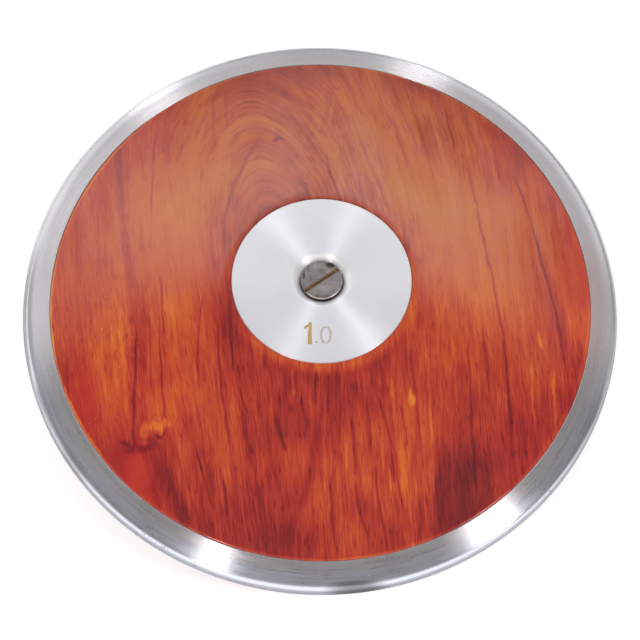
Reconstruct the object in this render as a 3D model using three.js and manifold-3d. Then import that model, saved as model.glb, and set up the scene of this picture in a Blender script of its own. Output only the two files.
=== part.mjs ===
// A wooden throwing discus of the 1 kg class, taken apart into the pieces it is made of.
// Millimetres, +Z up. The origin is the centre of the discus, and Z is the axis it spins about.
// A steel rim ring with an inner tongue is held between two wooden halves. Each half has a flush
// steel plate at its centre, over a pocket of weight washers. A slotted bolt and a slotted sleeve
// nut pull the two plates together against a core tube.

import * as THREE from "three";
import { mergeVertices } from "three/addons/utils/BufferGeometryUtils.js";
import Module from "manifold-3d";

const wasm = await Module();
wasm.setup();

// Driving dimensions of the whole discus
const outsideDiameter = 181;
const centreThickness = 38;
const flatZoneDiameter = 56.6;
const edgeRadius = 3;

// Rim ring
const rimWidth = 8.5;
const tongueWidth = 6.5;
const tongueThickness = 2.4;

// Centre plates, and the width of the wooden step that each one lies on
const plateDiameter = 53.6;
const plateThickness = 4;
const plateStepWidth = 5.5;

// Bolt and sleeve nut. The heads lie just below the plate's face, at the bottom of a wide
// sloping countersink.
const headDiameter = 12.6;
const headThickness = 2;
const headRecess = 0.4;
const countersinkWidth = 2;
const countersinkDepth = 1.5;
const shankDiameter = 6;
const shankLength = 18;
const barrelWall = 1.85;
const barrelEndGap = 4;
const boreSpare = 2;
const slotWidth = 1.2;
const slotDepth = 1;
const boltSlotDegrees = 38;
const nutSlotDegrees = 100;

// Core tube and weight washers
const tubeWall = 1.8;
const washerThickness = 3;
const washersPerSide = 3;

// Pins through the tongue, and pins that stop the plates from turning
const rimPinCount = 6;
const rimPinDiameter = 3;
const rimPinCover = 1.5;
const platePinCount = 2;
const platePinDiameter = 2;
const platePinInPlate = 2;
const platePinInWood = 5;

// Clearances, all on the radius or at a blind end
const seamClearance = 0.15;
const runningClearance = 0.2;
const washerClearance = 0.3;
const headClearance = 0.2;
const pinClearance = 0.1;
const cutOverrun = 1;

// Facets of a full turn
const outerSides = 96;
const innerSides = 48;
const pinSides = 16;
const edgeSteps = 10;

// Sizes worked out from the ones above
const outsideRadius = outsideDiameter / 2;
const halfThickness = centreThickness / 2;
const flatZoneRadius = flatZoneDiameter / 2;
const seamRadius = outsideRadius - rimWidth;
const tongueRadius = seamRadius - tongueWidth;
const plateRadius = plateDiameter / 2;
const plateSeatHeight = halfThickness - plateThickness;
const headTopHeight = halfThickness - headRecess;
const headSeatHeight = headTopHeight - headThickness;
const nutBoreRadius = shankDiameter / 2 + seamClearance;
const barrelRadius = nutBoreRadius + barrelWall;
const tubeBoreRadius = barrelRadius + runningClearance;
const tubeRadius = tubeBoreRadius + tubeWall;
const pocketRadius = plateRadius - plateStepWidth;
const pocketFloorHeight = plateSeatHeight - washersPerSide * washerThickness;
const rimPinCircleRadius = seamRadius - tongueWidth / 2;
const platePinCircleRadius = plateRadius - plateStepWidth / 2;

// Each flank is the straight line from the flat zone that just touches the rounded edge.
const edgeCentreRadius = outsideRadius - edgeRadius;
const flankRun = edgeCentreRadius - flatZoneRadius;
const flankAngle =
  Math.atan2(halfThickness, flankRun) - Math.asin(edgeRadius / Math.hypot(halfThickness, flankRun));

function faceHeight(radius) {
  return halfThickness - Math.max(0, radius - flatZoneRadius) * Math.tan(flankAngle);
}

// Colours of the photographed discus
const steel = { metalness: 1 };
const rimSteel = { ...steel, color: 0xb5b3b4, roughness: 0.3 };
const plateSteel = { ...steel, color: 0xd9d8d6, roughness: 0.25 };
const screwSteel = { ...steel, color: 0x6b635f, roughness: 0.45 };
const innerSteel = { ...steel, color: 0x9a9a9a, roughness: 0.5 };
const ballastSteel = { ...steel, color: 0x7c7f83, roughness: 0.6 };
const hardwood = { color: 0xa8402a, metalness: 0, roughness: 0.3 };

// A closed outline of [radius, height] corners, turned about Z
function turned(corners, sides) {
  const points = corners.map(([radius, height]) => new THREE.Vector2(radius, height));
  return new THREE.LatheGeometry(points, sides).rotateX(Math.PI / 2);
}

function ring(innerRadius, outerRadius, low, high, sides) {
  const corners = [
    [innerRadius, low],
    [outerRadius, low],
    [outerRadius, high],
    [innerRadius, high],
    [innerRadius, low],
  ];
  return turned(corners, sides);
}

// An upright round bar from one height to another, standing at x and y
function bar(radius, low, high, sides, x = 0, y = 0) {
  const geometry = new THREE.CylinderGeometry(radius, radius, high - low, sides);
  return geometry.rotateX(Math.PI / 2).translate(x, y, (low + high) / 2);
}

function toSolid(geometry) {
  const shape = geometry.clone();
  shape.deleteAttribute("normal");
  shape.deleteAttribute("uv");
  const merged = mergeVertices(shape);
  const vertProperties = merged.attributes.position.array;
  const triVerts = new Uint32Array(merged.index.array);
  return new wasm.Manifold(new wasm.Mesh({ numProp: 3, vertProperties, triVerts }));
}

function toGeometry(solid) {
  const mesh = solid.getMesh();
  const geometry = new THREE.BufferGeometry();
  geometry.setAttribute("position", new THREE.BufferAttribute(mesh.vertProperties, 3));
  geometry.setIndex(new THREE.BufferAttribute(mesh.triVerts, 1));
  const faceted = geometry.toNonIndexed();
  faceted.computeVertexNormals();
  return faceted;
}

function cut(geometry, tools) {
  const cutSolid = tools.reduce((solid, tool) => solid.subtract(toSolid(tool)), toSolid(geometry));
  return toGeometry(cutSolid);
}

// A straight screwdriver slot across a head, from its outer face down
function slotTool(outerFace, inwards, degrees) {
  const depth = slotDepth + cutOverrun;
  const tool = new THREE.BoxGeometry(headDiameter + cutOverrun, slotWidth, depth);
  const middle = outerFace + inwards * (slotDepth - depth / 2);
  return tool.rotateZ(THREE.MathUtils.degToRad(degrees)).translate(0, 0, middle);
}

// Places evenly spaced on a circle
function circlePlaces(radius, count) {
  return Array.from({ length: count }, (_, i) => {
    const angle = (i / count) * 2 * Math.PI;
    return [radius * Math.cos(angle), radius * Math.sin(angle)];
  });
}

const rimPinPlaces = circlePlaces(rimPinCircleRadius, rimPinCount);
const platePinPlaces = circlePlaces(platePinCircleRadius, platePinCount);
const rimPinHalfLength = faceHeight(rimPinCircleRadius) - rimPinCover;

function holesFor(places, radius, low, high) {
  return places.map(([x, y]) => bar(radius + pinClearance, low, high, pinSides, x, y));
}

// The rim runs from the wood out to the rounded edge, with a flat tongue on its inner side.
function rimGeometry() {
  const startAngle = Math.PI / 2 - flankAngle;
  const edge = Array.from({ length: edgeSteps + 1 }, (_, i) => {
    const angle = -startAngle + (2 * startAngle * i) / edgeSteps;
    return [edgeCentreRadius + edgeRadius * Math.cos(angle), edgeRadius * Math.sin(angle)];
  });
  const corners = [
    [seamRadius, -tongueThickness / 2],
    [seamRadius, -faceHeight(seamRadius)],
    ...edge,
    [seamRadius, faceHeight(seamRadius)],
    [seamRadius, tongueThickness / 2],
    [tongueRadius, tongueThickness / 2],
    [tongueRadius, -tongueThickness / 2],
    [seamRadius, -tongueThickness / 2],
  ];
  const holeReach = tongueThickness / 2 + cutOverrun;
  const holes = holesFor(rimPinPlaces, rimPinDiameter / 2, -holeReach, holeReach);
  return cut(turned(corners, outerSides), holes);
}

// The upper wooden half: bore for the core tube, washer pocket, plate recess, and a rebate for the tongue
function upperHalfGeometry() {
  const outer = seamRadius - seamClearance;
  const rebate = tongueRadius - seamClearance;
  const recess = plateRadius + seamClearance;
  const bore = tubeRadius + seamClearance;
  const corners = [
    [bore, 0],
    [rebate, 0],
    [rebate, tongueThickness / 2],
    [outer, tongueThickness / 2],
    [outer, faceHeight(outer)],
    [flatZoneRadius, halfThickness],
    [recess, halfThickness],
    [recess, plateSeatHeight],
    [pocketRadius, plateSeatHeight],
    [pocketRadius, pocketFloorHeight],
    [bore, pocketFloorHeight],
    [bore, 0],
  ];
  const rimHoleTop = rimPinHalfLength + pinClearance;
  const plateHoleFloor = plateSeatHeight - platePinInWood - pinClearance;
  const holes = [
    ...holesFor(rimPinPlaces, rimPinDiameter / 2, 0, rimHoleTop),
    ...holesFor(platePinPlaces, platePinDiameter / 2, plateHoleFloor, plateSeatHeight + cutOverrun),
  ];
  return cut(turned(corners, outerSides), holes);
}

// The upper plate: a sloping countersink down to the bore of a head, a hole for what passes
// through, and blind pin holes below
function upperPlateGeometry(holeRadius) {
  const headBore = headDiameter / 2 + headClearance;
  const corners = [
    [holeRadius, plateSeatHeight],
    [plateRadius, plateSeatHeight],
    [plateRadius, halfThickness],
    [headBore + countersinkWidth, halfThickness],
    [headBore, halfThickness - countersinkDepth],
    [headBore, headSeatHeight],
    [holeRadius, headSeatHeight],
    [holeRadius, plateSeatHeight],
  ];
  const pinHoleTop = plateSeatHeight + platePinInPlate + pinClearance;
  const holes = holesFor(platePinPlaces, platePinDiameter / 2, plateSeatHeight - cutOverrun, pinHoleTop);
  return cut(turned(corners, outerSides), holes);
}

function boltGeometry() {
  const corners = [
    [0, headSeatHeight - shankLength],
    [shankDiameter / 2, headSeatHeight - shankLength],
    [shankDiameter / 2, headSeatHeight],
    [headDiameter / 2, headSeatHeight],
    [headDiameter / 2, headTopHeight],
    [0, headTopHeight],
  ];
  return cut(turned(corners, innerSides), [slotTool(headTopHeight, -1, boltSlotDegrees)]);
}

// The sleeve nut lies head down in the lower plate, and its barrel reaches up through the core tube.
function sleeveNutGeometry() {
  const barrelTop = plateSeatHeight - barrelEndGap;
  const boreFloor = headSeatHeight - shankLength - boreSpare;
  const corners = [
    [0, -headTopHeight],
    [headDiameter / 2, -headTopHeight],
    [headDiameter / 2, -headSeatHeight],
    [barrelRadius, -headSeatHeight],
    [barrelRadius, barrelTop],
    [nutBoreRadius, barrelTop],
    [nutBoreRadius, boreFloor],
    [0, boreFloor],
  ];
  return cut(turned(corners, innerSides), [slotTool(-headTopHeight, 1, nutSlotDegrees)]);
}

// What lies below the middle is the upper piece turned over about X.
function turnedOver(geometry) {
  return geometry.rotateX(Math.PI);
}

const discus = new THREE.Group();

function add(name, geometry, material) {
  const mesh = new THREE.Mesh(geometry, new THREE.MeshStandardMaterial(material));
  mesh.name = name;
  discus.add(mesh);
  return mesh;
}

add("rim", rimGeometry(), rimSteel);
add("upper_wood_half", upperHalfGeometry(), hardwood);
add("lower_wood_half", turnedOver(upperHalfGeometry()), hardwood);
add("upper_centre_plate", upperPlateGeometry(shankDiameter / 2 + runningClearance), plateSteel);
add("lower_centre_plate", turnedOver(upperPlateGeometry(tubeBoreRadius)), plateSteel);
add("centre_bolt", boltGeometry(), screwSteel);
add("sleeve_nut", sleeveNutGeometry(), screwSteel);
const coreTube = ring(tubeBoreRadius, tubeRadius, -plateSeatHeight, plateSeatHeight, innerSides);
add("core_tube", coreTube, innerSteel);

const washerBore = tubeRadius + washerClearance;
const washerRadius = pocketRadius - washerClearance;
for (let i = 0; i < washersPerSide; i += 1) {
  const low = pocketFloorHeight + i * washerThickness;
  const high = low + washerThickness;
  const upperWasher = ring(washerBore, washerRadius, low, high, innerSides);
  add(`upper_weight_washer_${i + 1}`, upperWasher, ballastSteel);
  const lowerWasher = ring(washerBore, washerRadius, -high, -low, innerSides);
  add(`lower_weight_washer_${i + 1}`, lowerWasher, ballastSteel);
}

rimPinPlaces.forEach(([x, y], i) => {
  const pin = bar(rimPinDiameter / 2, -rimPinHalfLength, rimPinHalfLength, pinSides, x, y);
  add(`rim_pin_${i + 1}`, pin, innerSteel);
});

platePinPlaces.forEach(([x, y], i) => {
  const low = plateSeatHeight - platePinInWood;
  const high = plateSeatHeight + platePinInPlate;
  add(`upper_plate_pin_${i + 1}`, bar(platePinDiameter / 2, low, high, pinSides, x, y), innerSteel);
  add(`lower_plate_pin_${i + 1}`, bar(platePinDiameter / 2, -high, -low, pinSides, x, y), innerSteel);
});

export default discus;
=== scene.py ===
import math
from types import SimpleNamespace

import bmesh
import bpy
from mathutils import Matrix, Vector


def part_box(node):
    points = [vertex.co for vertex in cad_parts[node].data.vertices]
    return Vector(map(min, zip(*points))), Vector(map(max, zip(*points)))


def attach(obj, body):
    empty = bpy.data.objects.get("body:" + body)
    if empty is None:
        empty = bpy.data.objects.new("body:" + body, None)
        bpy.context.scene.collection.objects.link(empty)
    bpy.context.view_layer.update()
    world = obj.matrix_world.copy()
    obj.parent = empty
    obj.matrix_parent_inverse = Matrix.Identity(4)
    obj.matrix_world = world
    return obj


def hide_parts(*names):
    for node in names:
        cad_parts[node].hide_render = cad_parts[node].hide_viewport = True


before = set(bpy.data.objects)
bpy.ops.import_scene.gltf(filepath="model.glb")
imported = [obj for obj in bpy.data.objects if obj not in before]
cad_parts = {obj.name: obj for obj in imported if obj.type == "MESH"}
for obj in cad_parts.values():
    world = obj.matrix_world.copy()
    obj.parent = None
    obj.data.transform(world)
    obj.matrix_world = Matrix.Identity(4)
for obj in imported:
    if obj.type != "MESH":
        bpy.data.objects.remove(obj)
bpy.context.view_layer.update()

MM = 0.001

# Sizes read from the frame
RIM_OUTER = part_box("rim")[1].x
SEAM_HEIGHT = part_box("rim")[1].z
WOOD_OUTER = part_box("upper_wood_half")[1].x
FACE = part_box("upper_wood_half")[1].z
PLATE_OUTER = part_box("upper_centre_plate")[1].x
PLATE_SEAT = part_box("upper_centre_plate")[0].z
HEAD_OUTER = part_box("centre_bolt")[1].x
HEAD_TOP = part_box("centre_bolt")[1].z
SHANK_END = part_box("centre_bolt")[0].z
BARREL_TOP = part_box("sleeve_nut")[1].z
TUBE_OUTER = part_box("core_tube")[1].x
WASHER_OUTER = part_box("upper_weight_washer_1")[1].x
POCKET_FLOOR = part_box("upper_weight_washer_1")[0].z
RIM_PIN_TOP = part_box("rim_pin_1")[1].z
RIM_PIN_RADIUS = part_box("rim_pin_1")[1].y
RIM_PIN_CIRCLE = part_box("rim_pin_1")[1].x - RIM_PIN_RADIUS
RIM_PIN_COUNT = sum(name.startswith("rim_pin_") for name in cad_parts)
PLATE_PIN_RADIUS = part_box("upper_plate_pin_1")[1].y
PLATE_PIN_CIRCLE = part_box("upper_plate_pin_1")[1].x - PLATE_PIN_RADIUS
PLATE_PIN_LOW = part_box("upper_plate_pin_1")[0].z
PLATE_PIN_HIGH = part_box("upper_plate_pin_1")[1].z
PLATE_PIN_COUNT = sum(name.startswith("upper_plate_pin_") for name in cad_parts)

# Sizes that the boxes don't give, as in the solids
SEAM_GAP = 0.15 * MM
SEEN_SEAM_GAP = 0.05 * MM
RUNNING_GAP = 0.2 * MM
WASHER_GAP = 0.3 * MM
PIN_GAP = 0.1 * MM
FLAT_ZONE = 28.3 * MM
EDGE_ROUND = 3 * MM
TONGUE_WIDTH = 6.5 * MM
TONGUE_HALF = 1.2 * MM
HEAD_THICKNESS = 2 * MM
HEAD_GAP = 0.2 * MM
COUNTERSINK_WIDTH = 2 * MM
COUNTERSINK_DEPTH = 1.5 * MM
SHANK_RADIUS = 3 * MM
BARREL_WALL = 1.85 * MM
SLOT_WIDTH = 1.2 * MM
SEEN_SLOT_DEPTH = 0.6 * MM
BOLT_SLOT_DEGREES = 38
NUT_SLOT_DEGREES = 100
BORE_SPARE = 2 * MM

SEAM = WOOD_OUTER + SEEN_SEAM_GAP
TONGUE_INNER = SEAM - TONGUE_WIDTH
HEAD_SEAT = HEAD_TOP - HEAD_THICKNESS
NUT_BORE = SHANK_RADIUS + SEAM_GAP
BARREL_OUTER = NUT_BORE + BARREL_WALL
TUBE_BORE = BARREL_OUTER + RUNNING_GAP
POCKET_OUTER = WASHER_OUTER + WASHER_GAP

# Softened edges
RIM_INNER_EASE = 0.2 * MM
WOOD_LIP_EASE = 0.45 * MM
WOOD_CROWN_EASE = 9 * MM
PLATE_EASE = 0.3 * MM
COUNTERSINK_EASE = 1.6 * MM
BORE_EASE = 0.15 * MM
HEAD_EASE = 0.45 * MM
SMALL_EASE = 0.15 * MM
EASE_SUPPORT = 0.06 * MM
EASE_STEPS = 6

TURN_STEPS = 384
HEAD_STEPS = 128
EDGE_STEPS = 24
PIN_STEPS = 32
CUT_OVERRUN = 1 * MM
SHARP_DEGREES = 28

# The face of each plate falls away a little towards its edge.
PLATE_CROWN = 0.25 * MM
PLATE_CROWN_POWER = 4
PLATE_CROWN_STEPS = 8
PLATE_CROWN_FIRST_STEP = 4

# Engraved numerals, in millimetres on the upper face. A stroke is a row of x, y and half-width,
# and the oval has its middle, its two half-axes and its half-width.
ENGRAVING_DEPTH = 0.25 * MM
ENGRAVING_FLOOR_SHARE = 0.6
NUMERAL_STROKES = [
    [(-2.75, -13.9, 0.5), (-2.8, -17, 0.62), (-2.65, -20.9, 0.85)],
    [(-2.9, -14.6, 0.4), (-3.7, -15.2, 0.45), (-4.5, -15.9, 0.45)],
    [(-0.75, -19.9, 0.3), (-0.75, -20.5, 0.3)],
]
ZERO_OVAL = (1.9, -17.7, 1.4, 2.6, 0.36)
ZERO_STEPS = 32

# The taper: the straight flank leaves the flat zone and just touches the rounded edge.
EDGE_CENTRE = RIM_OUTER - EDGE_ROUND
FLANK_RUN = EDGE_CENTRE - FLAT_ZONE
FLANK_ANGLE = math.atan2(FACE, FLANK_RUN) - math.asin(EDGE_ROUND / math.hypot(FACE, FLANK_RUN))


def face_height(radius):
    """The height of the upper face at a distance from the axis, up to the rounded edge."""
    return FACE - max(0, radius - FLAT_ZONE) * math.tan(FLANK_ANGLE)


def circle_places(radius, count):
    """Places spread evenly round the axis, the first one on +X."""
    angles = [2 * math.pi * i / count for i in range(count)]
    return [(radius * math.cos(a), radius * math.sin(a)) for a in angles]


RIM_PIN_PLACES = circle_places(RIM_PIN_CIRCLE, RIM_PIN_COUNT)
PLATE_PIN_PLACES = circle_places(PLATE_PIN_CIRCLE, PLATE_PIN_COUNT)


# Outlines and meshes

def eased(corners, closed=True):
    """The (radius, height, ease) corners of an outline, each rounded by its ease, as plain points."""
    points = []
    count = len(corners)
    for i, (radius, height, ease) in enumerate(corners):
        here = Vector((radius, height))
        if ease == 0 or (not closed and i in (0, count - 1)):
            points.append(here)
            continue
        before = (Vector(corners[i - 1][:2]) - here).normalized()
        after = (Vector(corners[(i + 1) % count][:2]) - here).normalized()
        half = before.angle(after) / 2
        reach = ease / math.tan(half)
        centre = here + (before + after).normalized() * ease / math.sin(half)
        start = here + before * reach - centre
        turn = start.angle_signed(here + after * reach - centre)
        points.append(here + before * (reach + EASE_SUPPORT))
        for step in range(EASE_STEPS + 1):
            points.append(centre + Matrix.Rotation(-turn * step / EASE_STEPS, 2) @ start)
        points.append(here + after * (reach + EASE_SUPPORT))
    return points


def new_object(name, data):
    """A new object in the scene."""
    thing = bpy.data.objects.new(name, data)
    bpy.context.scene.collection.objects.link(thing)
    return thing


def new_piece(name, shape):
    """An object made of a bmesh, with its faces turned outwards."""
    bmesh.ops.recalc_face_normals(shape, faces=shape.faces)
    mesh = bpy.data.meshes.new(name)
    shape.to_mesh(mesh)
    shape.free()
    return new_object(name, mesh)


def shade_smooth(piece):
    """Shades the piece smooth, but for its sharp edges."""
    piece.data.polygons.foreach_set("use_smooth", [True] * len(piece.data.polygons))
    piece.data.set_sharp_from_angle(angle=math.radians(SHARP_DEGREES))


def turned(name, points, steps, closed=True):
    """An outline turned about Z. An open one starts and ends on the axis."""
    shape = bmesh.new()
    rings = []
    for radius, height in points:
        if radius == 0:
            rings.append([shape.verts.new((0, 0, height))] * steps)
            continue
        places = circle_places(radius, steps)
        rings.append([shape.verts.new((x, y, height)) for x, y in places])
    last = len(rings) if closed else len(rings) - 1
    for i in range(last):
        low, high = rings[i], rings[(i + 1) % len(rings)]
        for j in range(steps):
            k = (j + 1) % steps
            corners = dict.fromkeys([low[j], low[k], high[k], high[j]])
            shape.faces.new(list(corners))
    return new_piece(name, shape)


def prism(outline, low, high):
    """An upright prism of (x, y) points, to cut with."""
    shape = bmesh.new()
    bottom = [shape.verts.new((x, y, low)) for x, y in outline]
    top = [shape.verts.new((x, y, high)) for x, y in outline]
    shape.faces.new(bottom)
    shape.faces.new(top)
    for i in range(len(top)):
        j = (i + 1) % len(top)
        shape.faces.new([bottom[i], bottom[j], top[j], top[i]])
    return new_piece("cutter", shape)


def rod(radius, low, high, place):
    """An upright rod at a place, to cut a pin's hole with."""
    outline = [(place[0] + x, place[1] + y) for x, y in circle_places(radius, PIN_STEPS)]
    return prism(outline, low, high)


def slot_bar(outer, inner, degrees):
    """The bar that a screwdriver slot leaves out, across a head from its outer face down."""
    half = SLOT_WIDTH / 2
    reach = HEAD_OUTER + CUT_OVERRUN
    turn = Matrix.Rotation(math.radians(degrees), 2)
    corners = [(-reach, -half), (reach, -half), (reach, half), (-reach, half)]
    return prism([turn @ Vector(corner) for corner in corners], min(outer, inner), max(outer, inner))


def carve(piece, cutters):
    """Cuts the cutters out of the piece and deletes them."""
    for cutter in cutters:
        cut = piece.modifiers.new("cut", "BOOLEAN")
        cut.operation = "DIFFERENCE"
        cut.solver = "EXACT"
        cut.object = cutter
    graph = bpy.context.evaluated_depsgraph_get()
    carved = bpy.data.meshes.new_from_object(piece.evaluated_get(graph))
    piece.modifiers.clear()
    old = piece.data
    piece.data = carved
    bpy.data.meshes.remove(old)
    carved.name = piece.name
    for cutter in cutters:
        bpy.data.meshes.remove(cutter.data)
    return piece


def groove(stations, closed=False):
    """The bar that an engraved stroke leaves out of the upper face, along (x, y, half-width) stations."""
    shape = bmesh.new()
    sections = []
    last = len(stations) - 1
    for i, (x, y, half) in enumerate(stations):
        before = stations[i - 1] if closed or i > 0 else stations[0]
        after = stations[(i + 1) % len(stations)] if closed or i < last else stations[last]
        along = Vector((after[0] - before[0], after[1] - before[1])).normalized()
        side = Vector((-along.y, along.x))
        floor = half * ENGRAVING_FLOOR_SHARE
        corners = [
            (2 * half - floor, FACE + ENGRAVING_DEPTH),
            (floor, FACE - ENGRAVING_DEPTH),
            (-floor, FACE - ENGRAVING_DEPTH),
            (floor - 2 * half, FACE + ENGRAVING_DEPTH),
        ]
        places = [Vector((x, y)) + side * across for across, height in corners]
        heights = [height for across, height in corners]
        sections.append([shape.verts.new((*place, height)) for place, height in zip(places, heights)])
    spans = len(sections) if closed else last
    for i in range(spans):
        here, there = sections[i], sections[(i + 1) % len(sections)]
        for j in range(len(here)):
            k = (j + 1) % len(here)
            shape.faces.new([here[j], here[k], there[k], there[j]])
    if not closed:
        shape.faces.new(sections[0])
        shape.faces.new(sections[last])
    return new_piece("cutter", shape)


def numeral_cutters():
    """The strokes of the numerals 1.0 on the upper plate."""
    cutters = []
    for stroke in NUMERAL_STROKES:
        cutters.append(groove([(x * MM, y * MM, half * MM) for x, y, half in stroke]))
    middle_x, middle_y, width, height, half = ZERO_OVAL
    oval = []
    for across, along in circle_places(1, ZERO_STEPS):
        x = middle_x + width * across
        y = middle_y + height * along
        oval.append((x * MM, y * MM, half * MM))
    cutters.append(groove(oval, closed=True))
    return cutters


def turned_over(piece):
    """The piece turned over about X, as the lower half is to the upper one."""
    piece.data.transform(Matrix.Rotation(math.pi, 4, "X"))
    return piece


# Shader nodes

# The places of the colour sockets among a Mix node's own
MIX_COLOUR_INPUTS = (0, 6, 7)
MIX_COLOUR_OUTPUT = 2


class Field:
    """A number or a colour that shader nodes work out at each point."""

    def __init__(self, shader, socket):
        self.shader = shader
        self.socket = socket

    def __add__(self, other):
        return self.shader.math("ADD", self, other)

    def __radd__(self, other):
        return self.shader.math("ADD", other, self)

    def __sub__(self, other):
        return self.shader.math("SUBTRACT", self, other)

    def __rsub__(self, other):
        return self.shader.math("SUBTRACT", other, self)

    def __mul__(self, other):
        return self.shader.math("MULTIPLY", self, other)

    def __truediv__(self, other):
        return self.shader.math("DIVIDE", self, other)

    def __abs__(self):
        return self.shader.math("ABSOLUTE", self)

    def root(self):
        return self.shader.math("SQRT", self)

    def at_least(self, other):
        return self.shader.math("MAXIMUM", self, other)

    def at_most(self, other):
        return self.shader.math("MINIMUM", self, other)

    def times_plus(self, factor, extra):
        """self * factor + extra in one node."""
        return self.shader.math("MULTIPLY_ADD", self, factor, extra)

    def smooth(self, start, end, low, high):
        """low up to start, high from end on, and smooth between them. start is below end.

        The clamp stays off: a smooth step needs none, and hundreds of clamps overfill the shader.
        """
        node = self.shader.node("ShaderNodeMapRange", interpolation_type="SMOOTHSTEP", clamp=False)
        self.shader.feed(node, "Value", self)
        self.shader.feed(node, "From Min", start)
        self.shader.feed(node, "From Max", end)
        self.shader.feed(node, "To Min", low)
        self.shader.feed(node, "To Max", high)
        return Field(self.shader, node.outputs["Result"])

    def rise(self, start, end):
        """0 up to start, 1 from end on, and smooth between them. It falls where start is above end."""
        if start > end:
            return self.smooth(end, start, 1, 0)
        return self.smooth(start, end, 0, 1)

    def within(self, start, full, full_end, end):
        """1 from full to full_end, 0 up to start and from end on, and smooth between them."""
        return self.rise(start, full) * self.rise(end, full_end)


class Shader:
    """A node tree, with a few short words to fill it."""

    def __init__(self, tree):
        self.tree = tree

    def node(self, kind, **settings):
        node = self.tree.nodes.new(kind)
        for key, value in settings.items():
            setattr(node, key, value)
        return node

    def feed(self, node, name, value):
        socket = node.inputs[name]
        if isinstance(value, Field):
            self.tree.links.new(value.socket, socket)
        elif isinstance(value, tuple) and len(value) == 3 and socket.type == "RGBA":
            socket.default_value = (*value, 1)
        else:
            socket.default_value = value

    def math(self, operation, *values):
        """A sum, product or other operation on numbers and fields."""
        node = self.node("ShaderNodeMath", operation=operation)
        for i, value in enumerate(values):
            self.feed(node, i, value)
        return Field(self, node.outputs[0])

    def point(self, x, y, z):
        node = self.node("ShaderNodeCombineXYZ")
        for name, value in zip("XYZ", (x, y, z)):
            self.feed(node, name, value)
        return Field(self, node.outputs[0])

    def split(self, vector):
        node = self.node("ShaderNodeSeparateXYZ")
        self.feed(node, 0, vector)
        return [Field(self, node.outputs[i]) for i in range(3)]

    def millimetres(self):
        """The x, y and z of the shaded point in the object's frame, in millimetres."""
        coordinates = self.node("ShaderNodeTexCoord")
        x, y, z = self.split(Field(self, coordinates.outputs["Object"]))
        return x / MM, y / MM, z / MM

    def noise(self, x, y, z=0, detail=2):
        """Smooth noise around 0, from about -1 to 1, with a grain of one unit."""
        node = self.node("ShaderNodeTexNoise")
        self.feed(node, "Vector", self.point(x, y, z))
        self.feed(node, "Scale", 1)
        self.feed(node, "Detail", detail)
        return Field(self, node.outputs[0]) * 2 - 1

    def mix(self, base, other, share, kind="MIX"):
        """The base colour with a share of the other colour laid over it."""
        node = self.node("ShaderNodeMix", data_type="RGBA", blend_type=kind)
        factor, colour_a, colour_b = MIX_COLOUR_INPUTS
        self.feed(node, factor, share)
        self.feed(node, colour_a, base)
        self.feed(node, colour_b, other)
        return Field(self, node.outputs[MIX_COLOUR_OUTPUT])

    def tint(self, base, tint, share):
        """The base colour times the tint, as far as the share goes."""
        return self.mix(base, tint, share, "MULTIPLY")

    def scaled(self, colour, factor):
        node = self.node("ShaderNodeVectorMath", operation="SCALE")
        self.feed(node, 0, colour)
        self.feed(node, "Scale", factor)
        return Field(self, node.outputs[0])

    def ramp(self, value, stops):
        """The colour at a value, between (value, colour) stops."""
        node = self.node("ShaderNodeValToRGB")
        self.feed(node, 0, value)
        elements = node.color_ramp.elements
        while len(elements) < len(stops):
            elements.new(1)
        for element, (place, colour) in zip(elements, stops):
            element.position = place
            element.color = (*colour, 1)
        return Field(self, node.outputs[0])

    def bump(self, height):
        """A normal from a height field in millimetres."""
        node = self.node("ShaderNodeBump")
        self.feed(node, "Filter Width", 0.1)
        self.feed(node, "Height", height)
        self.feed(node, "Distance", MM)
        return Field(self, node.outputs[0])


def new_surface(name, **constants):
    """A material, its shader and its Principled node, with constants set on the node's own sockets."""
    material = bpy.data.materials.new(name)
    material.use_nodes = True
    shader = Shader(material.node_tree)
    surface = material.node_tree.nodes["Principled BSDF"]
    for key, value in constants.items():
        shader.feed(surface, key.replace("_", " "), value)
    return material, shader, surface


# Marks placed one by one

# The share of a streak's length, about its middle, where it is full
STREAK_FULL_SHARE = 0.6


def patches_at(x, y, patches):
    """The sum of soft oval patches, each full in its middle and 0 from its edge on."""
    total = 0
    for place_x, place_y, width, height, change in patches:
        east = x.times_plus(1 / width, -place_x / width)
        north = y.times_plus(1 / height, -place_y / height)
        total = total + east.times_plus(east, north * north).smooth(0, 1, change, 0)
    return total


class BentLine:
    """x = start + slope y + square y squared, through three (x, y) places."""

    def __init__(self, far, middle, near):
        first = (middle[0] - far[0]) / (middle[1] - far[1])
        second = (near[0] - middle[0]) / (near[1] - middle[1])
        self.square = (second - first) / (near[1] - far[1])
        self.slope = first - self.square * (far[1] + middle[1])
        self.start = far[0] - first * far[1] + self.square * far[1] * middle[1]


def streaks_at(x, y, streaks):
    """The sum of thin lines, each bent through three places and fading out at its two ends."""
    total = 0
    for far, middle, near, width, change in streaks:
        path = BentLine(far, middle, near)
        line = y.times_plus(path.square, path.slope).times_plus(y, path.start)
        thickness = abs(x - line).smooth(0, width, change, 0)
        reach = (far[1] - near[1]) / 2
        ends = abs(y - (far[1] + near[1]) / 2).smooth(reach * STREAK_FULL_SHARE, reach, 1, 0)
        total = thickness.times_plus(ends, total)
    return total


# Metals

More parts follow.
